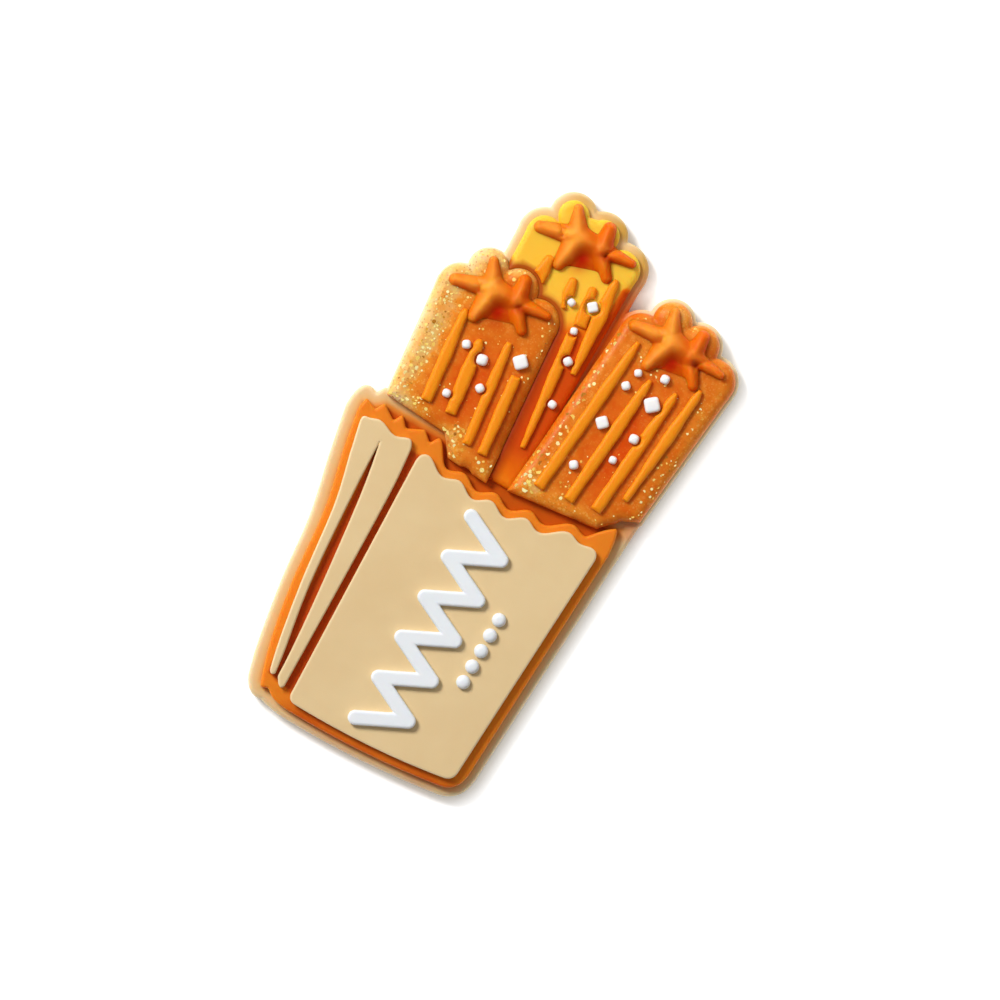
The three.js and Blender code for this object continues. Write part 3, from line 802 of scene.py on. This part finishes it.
def flake_material():
    """Foil glitter, each flake in its own tone from copper to pale gold."""
    shader = Shader("glitter_gold", 0.25)
    shader.feed("Metallic", 0.1)
    shader.colour(shader.ramp(shader.attribute("tone"), [
        (0.0, (156, 86, 4)), (0.1, (232, 160, 44)), (0.35, (255, 222, 110)), (1.0, (255, 246, 180)),
    ]))
    shader.roughen(shader.noise(0.1, 1.0), 0.2, 0.4)
    shader.bump((shader.noise(0.08, 1.0), 0.004))
    return shader


tan = soft_plastic("carton_tan", (230, 201, 150), (226, 195, 143), 0.55, 0.12, edge=(236, 210, 164))
white = soft_plastic("label_white", (238, 241, 244), (234, 238, 241), 0.5, 0.1)
sugar = soft_plastic("sugar_white", (252, 250, 248), (246, 244, 242), 0.4, 0.15)
# The ridges are paler at the top and deeper orange low down: partly the plastic's own colour, partly painted
# shade at their foot.
orange = half_clear_orange("ridge_orange", "raised", [
    (0.05, (222, 96, 0)), (0.35, (238, 130, 8)), (0.85, (244, 148, 18)),
], 0.45)
# The liner's colour deepens with painted shade in the gaps between the pleats and with the panel's painted
# shadow.
liner_orange = half_clear_orange("liner_orange", "painted_shade", [
    (0.1, (230, 132, 28)), (0.5, (206, 96, 8)), (0.9, (190, 70, 0)),
], 0.5)
star_orange = star_material()
backing_amber = backing_material()
glitter_amber = glitter_body_material()
churro_yellow = back_churro_material()
flake_gold = flake_material()

# ---- carton

SINK = 0.05  # how far a piece reaches into the one it stands on


def panel_unevenness(x, y, depth):
    """The slow unevenness of the moulded front panel, about 12 microns at the most."""
    return 0.006 * (np.sin(0.7 * x + 0.7 / 3 * y) + np.sin(1.3 / 3 * y - 0.4 / 3 * x))


left, right, back = CHURROS["left"], CHURROS["right"], CHURROS["back"]
backing_plan = blend_union([
    carton_backing_plan,
    *[churro_plan(churro, churro["rim"] - churro["spread"]) for churro in CHURROS.values()],
], OUTLINE_FILLET)

# Patches of colour on the backing: orange painted shade beside the back churro, by the right flap and along
# the bottom rim, and a yellow tint darkened with painted shade round the back churro's head; each an x, y,
# half width, half height, and how much.
BACKING_TINTS_AND_SHADE = {
    "painted_shade_orange": [
        (1.8, 12.6, 0.85, 5.2, 1.0), (9.6, 2.3, 0.8, 0.9, 0.5), (-1.0, -20.9, 4.5, 0.7, 0.2),
        (5.5, -20.4, 1.5, 0.6, 0.2),
    ],
    "yellow_tint_and_shade": [
        (1.3, 18.9, 0.9, 1.1, 0.8), (-1.0, 20.2, 1.2, 0.6, 0.8), (-3.2, 20.6, 1.6, 0.5, 0.4),
        (-4.6, 20.6, 0.8, 0.4, 0.4),
    ],
}

piece = relief("backing", backing_plan, 0, BACKING_TOP, (0.3, 0.35), foot=0.12, fill=0.5)
x, y = design_places(piece)[:2]
for name, patches in BACKING_TINTS_AND_SHADE.items():
    add_attribute(piece, name, np.clip(blotches(patches, x, y, 4), 0, 1))
show(piece, backing_amber, "backing")

# Painted shade: the liner is made deepest in the narrow gaps between the pleats, and deeper than elsewhere
# below the panel, where the panel's shadow is painted.
piece = relief("liner", worn(liner_plan, 0.1), BACKING_TOP - SINK, LINER_TOP, 0.2, fill=0.25)
x, y = design_places(piece)[:2]
gap_shade = np.clip(0.5 - polygon(SHADED_GAPS)(x, y) / 0.3, 0, 1)
panel_shadow = np.clip((-18.6 - y) / 1.2, 0, 1) * np.clip((x + 6.5) / 2.5, 0, 1)
add_attribute(piece, "painted_shade", np.maximum(gap_shade, 0.45 * panel_shadow))
show(piece, liner_orange, "liner")

piece = relief("front_panel", panel_plan, LINER_TOP - SINK, PANEL_TOP, 0.14, fill=0.8,
               rise=panel_unevenness)
show(piece, tan, "front_panel")
piece = relief("side_pleats", pleats_plan, LINER_TOP - SINK, PANEL_TOP, 0.14, grid=0.04)
show(piece, tan, "side_pleats")

# ---- label


def zigzag_plan():
    xs = (ZIGZAG["left"], ZIGZAG["right"])
    ys = np.linspace(ZIGZAG["top"], ZIGZAG["bottom"], ZIGZAG["strokes"] + 1)
    turns = [(xs[k % 2], y) for k, y in enumerate(ys)]
    return union(*[stroke(a, b, ZIGZAG["width"]) for a, b in zip(turns, turns[1:])])


piece = relief("label_zigzag", zigzag_plan(), PANEL_TOP - SINK, LABEL_TOP, 0.2, grid=0.05)
show(piece, white, "label_zigzag")
for k, y in enumerate(np.linspace(DROPS["top"], DROPS["bottom"], DROPS["count"])):
    name = f"label_drop_{k + 1}"
    piece = relief(name, disc(DROPS["x"], y, DROPS["radius"]), PANEL_TOP - SINK, LABEL_TOP, 0.36, grid=0.04)
    show(piece, white, name)

# ---- churros

# How wide and how high the rounded upper edge of each body is.
CHURRO_SHOULDER = {"left": (0.85, 0.75), "right": (0.85, 0.75), "back": (0.45, 0.4)}
# At the foot of a front churro its edge is this much less rounded than elsewhere.
FOOT_SHARPNESS = {"left": 0.4, "right": 0.2}

# How pale the front bodies are with glitter and painted light: everywhere, along their outlines, and in zones
# that are paler or deeper than the rest, each an x, y, half width, half height, and how much. The paler edge
# and zones are partly thicker glitter and partly painted light from the left; the deeper zones are painted
# shade between the ridges.
GLITTER_BASE = 0.38
GLITTER_AND_LIGHT_EDGE = {"left": 0.15, "right": 0}
GLITTER_AND_LIGHT_ZONES = {
    "left": [
        (-9.1, 6.5, 1.0, 5.5, 0.5), (-10.3, 6.5, 0.5, 4.5, 0.5), (-9.2, 12.0, 1.4, 1.4, 0.28),
        (-10.4, 11.4, 0.6, 1.5, 0.15), (-7.9, 14.2, 1.4, 0.8, 0.5), (-8.9, 13.3, 0.8, 0.8, 0.35),
        (-5.4, 14.1, 1.2, 0.6, 0.25), (-4.2, 1.6, 1.4, 1.2, 0.35), (-8.9, 2.0, 1.0, 0.8, 0.3),
        (-7.2, 2.2, 1.4, 0.6, 0.15), (-5.9, 2.0, 0.7, 0.5, -0.2), (-1.4, 0.9, 0.9, 0.6, 0.25),
        (-5.0, 5.5, 1.3, 3.2, -0.3), (-2.0, 4.0, 0.9, 3.6, -0.25),
    ],
    "right": [
        (2.6, 8.0, 0.8, 6.5, 0.14), (1.95, 9.5, 0.5, 7.5, -0.05), (2.2, 1.8, 1.1, 1.4, 0.28),
        (5.4, 1.2, 2.6, 0.8, 0.25), (5.2, 17.3, 1.4, 0.9, 0.32), (2.5, 15.4, 0.9, 1.2, -0.04),
        (4.3, 14.0, 0.8, 1.0, 0.2), (7.6, 16.9, 1.2, 0.7, 0.15), (6.2, 7.5, 1.0, 4.2, -0.35),
        (4.2, 8.0, 0.5, 4.2, -0.15), (10.4, 8.0, 0.5, 7.0, 0.15),
    ],
}

# Where the larger flakes lie: x, y, half width, half height, count, least and greatest radius.
FLAKE_DRIFTS = {
    "left": [
        (-9.1, 5.2, 0.6, 3.2, 100, 0.07, 0.19), (-9.4, 10.4, 0.6, 1.9, 36, 0.05, 0.14),
        (-8.7, 8.0, 0.9, 5.0, 40, 0.04, 0.1), (-4.1, 1.7, 0.8, 1.2, 52, 0.1, 0.22),
        (-7.5, 2.6, 1.0, 0.5, 20, 0.06, 0.14), (-1.6, 1.0, 0.5, 0.4, 8, 0.09, 0.18),
        (-6.1, 13.9, 0.5, 0.5, 12, 0.09, 0.19), (-7.6, 13.6, 0.7, 0.9, 14, 0.05, 0.13),
        (-6.0, 8.5, 2.6, 1.5, 20, 0.05, 0.11), (-2.3, 9.0, 0.7, 4.0, 22, 0.05, 0.11),
        (-5.5, 5.5, 3.0, 5.0, 36, 0.03, 0.08),
    ],
    "right": [
        (2.15, 9.6, 0.35, 4.6, 44, 0.12, 0.22), (1.85, 2.6, 0.5, 1.7, 80, 0.12, 0.24),
        (1.9, 7.5, 0.6, 6.0, 40, 0.04, 0.1), (4.5, 3.2, 0.4, 1.6, 18, 0.06, 0.14),
        (5.6, 12.6, 1.6, 0.8, 16, 0.07, 0.16), (6.2, 6.5, 2.0, 5.0, 30, 0.03, 0.09),
        (9.6, 5.2, 0.5, 2.6, 26, 0.05, 0.12), (10.0, 10.5, 0.5, 3.0, 18, 0.05, 0.11),
        (6.8, 17.0, 1.5, 0.5, 18, 0.06, 0.15), (3.0, 16.0, 0.6, 1.0, 14, 0.05, 0.12),
    ],
}

# Painted shade: where a star and the churro under it are made deep red, between and below the arms: x, y, half
# width, half height, and how much, round the star's centre.
STAR_SHADE_PATCHES = [
    (0.35, -1.0, 0.65, 0.9, 1.0), (1.7, -0.1, 0.7, 0.35, 0.9), (1.6, 0.9, 0.4, 0.6, 0.4),
    (-2.15, -0.65, 0.8, 0.22, 0.4),
]


def mouth(x, y):
    """The carton's mouth, which the churros end at."""
    return liner_plan(x, y - MOUTH_GAP)


front_churros = union(churro_plan(left, CHURRO_GAP), churro_plan(right, CHURRO_GAP))
body_plans = {side: cut(churro_plan(churro, 0), mouth) for side, churro in CHURROS.items()}
# The back body runs on under the edges of the front ones.
body_plans["back"] = cut(body_plans["back"], grow(front_churros, -CHURRO_GAP - 0.25))


def on_star(churro, x, y):
    """Design places in the frame of a churro's star, round its centre."""
    angle = math.radians(churro["turn"])
    cos, sin = math.cos(angle), math.sin(angle)
    px, py = x - churro["centre"][0], y - churro["centre"][1]
    return px * cos + py * sin - churro["star"][0], py * cos - px * sin - churro["star"][1]


def star_shade(churro, x, y):
    return np.clip(blotches(STAR_SHADE_PATCHES, *on_star(churro, x, y), 2), 0, 1)


def glitter_and_light_at(side, x, y):
    at_edge = np.clip(1 + body_plans[side](x, y) / 0.7, 0, 1)
    zones = blotches(GLITTER_AND_LIGHT_ZONES[side], x, y, 3)
    return np.clip(GLITTER_BASE + GLITTER_AND_LIGHT_EDGE[side] * at_edge + zones, 0, 1.3)


def edge_drop(side, y, depth):
    """How far a front churro's surface lies below its top, at a depth inside its plan."""
    at_foot = np.clip((3.0 - y) / 0.9, 0, 1)
    return shoulder_drop(depth, *CHURRO_SHOULDER[side]) * (1 - FOOT_SHARPNESS[side] * at_foot)


def sharper_foot(side):
    return lambda x, y, depth: shoulder_drop(depth, *CHURRO_SHOULDER[side]) - edge_drop(side, y, depth)


for side in ("left", "right"):
    piece = relief(f"churro_{side}", body_plans[side], BACKING_TOP - SINK, CHURRO_TOP[side],
                   CHURRO_SHOULDER[side], fill=0.3, steps=7, rise=sharper_foot(side))
    x, y = design_places(piece)[:2]
    add_attribute(piece, "glitter", glitter_and_light_at(side, x, y))
    # Painted shade along the foot next to the carton's mouth, and red painted shade in the lee of the star.
    mouth_shade = np.clip((x + 6) / 1.5, 0, 1) * np.clip(1 - mouth(x, y) / 0.5, 0, 1)
    add_attribute(piece, "painted_shade", 0.6 * mouth_shade)
    add_attribute(piece, "painted_lee_shade", star_shade(CHURROS[side], x, y))
    show(piece, glitter_amber, f"churro_{side}")

# The back churro is orange down its stem; painted shade makes it orange along its right edge and red-brown in
# the left churro's shadow beside it.
piece = relief("churro_back", body_plans["back"], BACKING_TOP - SINK, CHURRO_TOP["back"],
               CHURRO_SHOULDER["back"], fill=0.3)
x, y = design_places(piece)[:2]
down = np.clip((14.2 - y + 0.5 * (x + 1)) / 3.0, 0, 1)
right_edge_shade = np.clip((x - 0.65) / 0.4, 0, 1) * np.clip((17.3 - y) / 0.8, 0, 1)
at_mouth = np.clip((3.5 - y) / 2, 0, 1)
reach = 0.35 + 0.3 * np.clip((12 - y) / 2, 0, 1)
left_churro_shadow = np.clip(1 - churro_plan(left, CHURRO_GAP)(x, y) / reach, 0, 1)
add_attribute(piece, "stem", np.maximum(down, right_edge_shade) - 0.35 * at_mouth)
add_attribute(piece, "painted_lee_shade", star_shade(back, x, y))
add_attribute(piece, "painted_shade", 0.9 * left_churro_shadow)
show(piece, churro_yellow, "churro_back")

# ---- ridges

for side, ridges in RIDGES.items():
    base = CHURRO_TOP[side]
    obstacles = [disc(x, y, radius + GRAIN_CLEARANCE) for x, y, radius in GRAINS[side]]
    if side == "back":
        obstacles.append(front_churros)
    for k, ridge in enumerate(ridges):
        name = f"ridge_{side}_{k + 1}"
        uneven = wavering(worn(ridge_plan(ridge), 0.06), 0.014, 0.9, 1.9 * k + len(side))
        piece = relief(name, cut(uneven, *obstacles), base - 0.2, base + RIDGE_RISE, (0.3, 0.26), grid=0.035)
        z = design_places(piece)[2]
        add_attribute(piece, "raised", np.clip((z - base) / RIDGE_RISE, 0, 1))
        show(piece, orange, name)

# ---- stars

STAR_WALL = 0.03  # the height of a star's upright rim
STAR_FILLET = 0.07  # in the inner corners of a star's outline
ARM_BLEND = 0.08  # how softly the arms run into each other and the web
ARM_CREST = 0.2  # how blunt an arm's crest is
ARM_FALL = 0.3  # how much lower an arm is at its tip, as a share
ARM_BULGE = 0.85  # the power that makes an arm's flanks bulge
# A hump between the two arms on the right: x, y, half width, half height, and how high.
STAR_HUMPS = [(1.75, -0.05, 0.4, 0.35, 0.3)]
TO_LIGHT = (-0.34, 0.12)  # from a place in an arm's lee, how far towards the light the arm is looked for


def arm_distances(u, v):
    """For each arm: the distance from its centreline, its half width there, and how far along it is."""
    for start, end, root, tip in STAR_ARMS:
        away, t = from_segment(u, v, start, end)
        yield away, (root + (tip - root) * t) / 2 + ARM_SPREAD, t


def star_plan(churro):
    web = polygon(STAR_WEB)

    def distance(x, y):
        u, v = on_star(churro, x, y)
        total = np.exp(-web(u, v) / STAR_FILLET)
        for away, half, t in arm_distances(u, v):
            total = total + np.exp((half - away) / STAR_FILLET)
        return -STAR_FILLET * np.log(total)

    return distance


def star_height(churro, x, y):
    """Height of a star above its churro's surface: arms like low roofs, over a low web."""
    u, v = on_star(churro, x, y)
    web = WEB_RISE * np.clip(-polygon(STAR_WEB)(u, v) / 0.6, 0, 1) + blotches(STAR_HUMPS, u, v, 2)
    total = np.exp(web / ARM_BLEND)
    for away, half, t in arm_distances(u, v):
        roof = np.clip(1 - (np.hypot(away, ARM_CREST) - ARM_CREST) / half, 0, 1)
        total = total + np.exp(STAR_RISE * (1 - ARM_FALL * t) * roof ** ARM_BULGE / ARM_BLEND) - 1
    return np.minimum(ARM_BLEND * np.log(total), STAR_RISE)


def star_rise(side):
    def rise(x, y, depth):
        base = shoulder_drop(-body_plans[side](x, y), *CHURRO_SHOULDER[side])
        ease = np.clip(depth / 0.1, 0, 1)
        return np.maximum(star_height(CHURROS[side], x, y) - STAR_WALL, 0) * ease - base

    return rise


for side, churro in CHURROS.items():
    piece = relief(f"star_{side}", star_plan(churro), BACKING_TOP + 0.1, CHURRO_TOP[side] + STAR_WALL,
                   (0.03, 0.02), grid=0.05, fill=0.085, rise=star_rise(side), steps=2)
    x, y = design_places(piece)[:2]
    u = on_star(churro, x, y)[0]
    height = star_height(churro, x, y) / STAR_RISE
    towards_light = star_height(churro, x + TO_LIGHT[0], y + TO_LIGHT[1]) / STAR_RISE
    # Painted shade in the lee of each arm, on its side away from the light.
    in_lee = np.clip(1.6 * (towards_light - height), 0, 0.85)
    # Painted shade: the right arms, on the side away from the light, are made deeper in colour than the left
    # ones.
    add_attribute(piece, "raised", height * (1 - 0.5 * np.clip((u + 0.8) / 1.2, 0, 1)))
    add_attribute(piece, "painted_lee_shade", np.maximum(star_shade(churro, x, y) * (1 - 0.3 * height), 0.6 * in_lee))
    show(piece, star_orange, f"star_{side}")

# ---- sugar

rng = random.Random(7)
# The half height of a crystal and of a plain grain, and how square it is as a power.
CRYSTAL_SHAPE = (0.42, 5)
PLAIN_SHAPE = (0.36, 2.8)
CRYSTAL_SCALE = 0.86  # a crystal's sides lie this share of its radius from its centre


def grain_mesh(x, y, top, radius, half_height, power, turn, cells=10):
    """A blunt crystal: a cube whose faces bulge, the rounder the lower its power."""
    cos, sin = math.cos(turn), math.sin(turn)
    ticks = np.linspace(-1, 1, cells + 1)
    index, vertices, faces = {}, [], []

    def corner(*p):
        key = tuple(round(c, 6) for c in p)
        if key not in index:
            index[key] = len(vertices)
            v = np.tan(np.array(p) * math.pi / 4)
            v = v / (np.abs(v) ** power).sum() ** (1 / power)
            vertices.append((
                x + radius * (v[0] * cos - v[1] * sin),
                y + radius * (v[0] * sin + v[1] * cos),
                top + half_height * (v[2] - 1),
            ))
        return index[key]

    steps = list(zip(ticks, ticks[1:]))
    for axis, sign, (a, b), (c, d) in itertools.product(range(3), (-1, 1), steps, steps):
        quad = [corner(*p[:axis], sign, *p[axis:]) for p in ((a, c), (b, c), (b, d), (a, d))]
        faces.append(quad[::-1] if (sign < 0) != (axis == 1) else quad)
    return vertices, faces


for side, grains in GRAINS.items():
    for k, (x, y, radius) in enumerate(grains):
        top = CHURRO_TOP[side] + GRAIN_RISE
        if radius > LEAST_CRYSTAL:
            turn = math.pi / 4 + rng.uniform(-0.08, 0.08)
            vertices, faces = grain_mesh(x, y, top, radius * CRYSTAL_SCALE, *CRYSTAL_SHAPE, turn)
        else:
            vertices, faces = grain_mesh(x, y, top, radius, *PLAIN_SHAPE, rng.uniform(0, 1.5))
        name = f"sugar_{side}_{k + 1}"
        show(mesh_piece(name, vertices, faces), sugar, name)

# ---- glitter

FLAKE_THICKNESS = 0.02


def add_flake(vertices, faces, x, y, z, radius, turn, tilt_x, tilt_y):
    """A tilted hexagonal plate whose upper face lies at z."""
    start = len(vertices)
    for level in (-FLAKE_THICKNESS, 0):
        for k in range(6):
            angle = turn + k * math.pi / 3
            px, py = radius * math.cos(angle), radius * math.sin(angle)
            vertices.append((x + px, y + py, z + level + px * tilt_x + py * tilt_y))
    faces.append([start + k for k in range(5, -1, -1)])
    faces.append([start + 6 + k for k in range(6)])
    for k in range(6):
        n = (k + 1) % 6
        faces.append([start + k, start + n, start + 6 + n, start + 6 + k])


def flakes(side, seed):
    """Flakes lying in a churro's surface, in drifts, apart from each other."""
    draw = np.random.RandomState(seed)
    vertices, faces, tones = [], [], []
    placed = np.zeros((0, 3))
    for cx, cy, half_x, half_y, count, least, most in FLAKE_DRIFTS[side]:
        xs = cx + half_x * draw.normal(0, 0.6, count)
        ys = cy + half_y * draw.uniform(-1, 1, count)
        radii = least + (most - least) * draw.random_sample(count) ** 1.3
        depths = -body_plans[side](xs, ys)
        heights = CHURRO_TOP[side] - edge_drop(side, ys, depths)
        for x, y, radius, depth, height in zip(xs, ys, radii, depths, heights):
            tilt_x, tilt_y = draw.uniform(-0.2, 0.2, 2)
            turn, tone, lift = draw.uniform(0, math.pi), draw.random_sample(), draw.uniform(-0.002, 0.016)
            near = np.hypot(placed[:, 0] - x, placed[:, 1] - y) < 0.9 * (placed[:, 2] + radius)
            if depth >= radius + 0.02 and not near.any():
                placed = np.vstack([placed, (x, y, radius)])
                add_flake(vertices, faces, x, y, height + lift, radius, turn, tilt_x, tilt_y)
                tones += [tone] * 12
    return vertices, faces, tones


for side, seed in (("left", 11), ("right", 23)):
    vertices, faces, tones = flakes(side, seed)
    piece = mesh_piece(f"glitter_{side}", vertices, faces, {"tone": tones}, smooth=False)
    show(piece, flake_gold)

# ---- stage

VIEW_WIDTH = 69.93  # how wide a strip of the floor the camera sees, in millimetres
VIEW_CENTRE = (0.817, -0.401)  # in the design frame
CAMERA_HEIGHT = 0.6  # above the charm's middle, in metres
CHARM_MIDDLE = 0.002  # the height of the charm's middle, in metres


def floor():
    """A white floor that glows, with a contact shadow painted close round the charm by dimming the glow where
    ambient occlusion finds the charm.
    """
    mesh = bpy.data.meshes.new("floor")
    mesh.from_pydata([(-1, -1, 0), (1, -1, 0), (1, 1, 0), (-1, 1, 0)], [], [(0, 1, 2, 3)])
    piece = add_object("floor", mesh)
    shader = Shader("floor_white", 0.8)
    near = shader.add("AmbientOcclusion", {"Distance": 1.1 * MM})
    shader.feed("Base Color", (0.9, 0.9, 0.9, 1))
    shader.feed("Emission Color", (1, 1, 1, 1))
    # Painted contact shadow: the glow dims near the charm.
    glow = shader.math("POWER", near.outputs["AO"], 2.5)
    shader.feed("Emission Strength", shader.math("MULTIPLY", glow, 0.72))
    mesh.materials.append(shader.material)


def softbox(name, direction, distance, width, power):
    """A round lamp that faces the charm from a direction in its frame, in metres and watts."""
    lamp = bpy.data.lights.new(name, "AREA")
    lamp.shape = "DISK"
    lamp.size = width
    lamp.energy = power
    piece = add_object(name, lamp)
    away = Vector(direction).normalized()
    piece.location = away * distance
    piece.rotation_euler = away.to_track_quat("Z", "Y").to_euler()


def camera():
    """Straight above the charm with a long lens, turned so that the charm leans 30 degrees to the right."""
    data = bpy.data.cameras.new("camera")
    data.sensor_width = 36
    data.lens = data.sensor_width * CAMERA_HEIGHT / (VIEW_WIDTH * MM)
    data.clip_start = 0.01
    data.clip_end = 10
    piece = add_object("camera", data)
    x, y = (centre + shift for centre, shift in zip(VIEW_CENTRE, SHIFT))
    piece.location = (x * MM, y * MM, CAMERA_HEIGHT + CHARM_MIDDLE)
    piece.rotation_euler = (0, 0, math.radians(30))
    bpy.context.scene.camera = piece


floor()
softbox("key", (-0.95, 0.33, 0.95), 0.45, 0.16, 1.97)
softbox("fill", (0.3, 0.9, 0.8), 0.09, 0.06, 0.01)
world = bpy.data.worlds.new("studio")
world.use_nodes = True
background = world.node_tree.nodes["Background"].inputs
background["Color"].default_value = (1, 1, 1, 1)
background["Strength"].default_value = 0.25
bpy.context.scene.world = world
bpy.context.scene.view_settings.view_transform = "Standard"
camera()

bpy.context.view_layer.update()
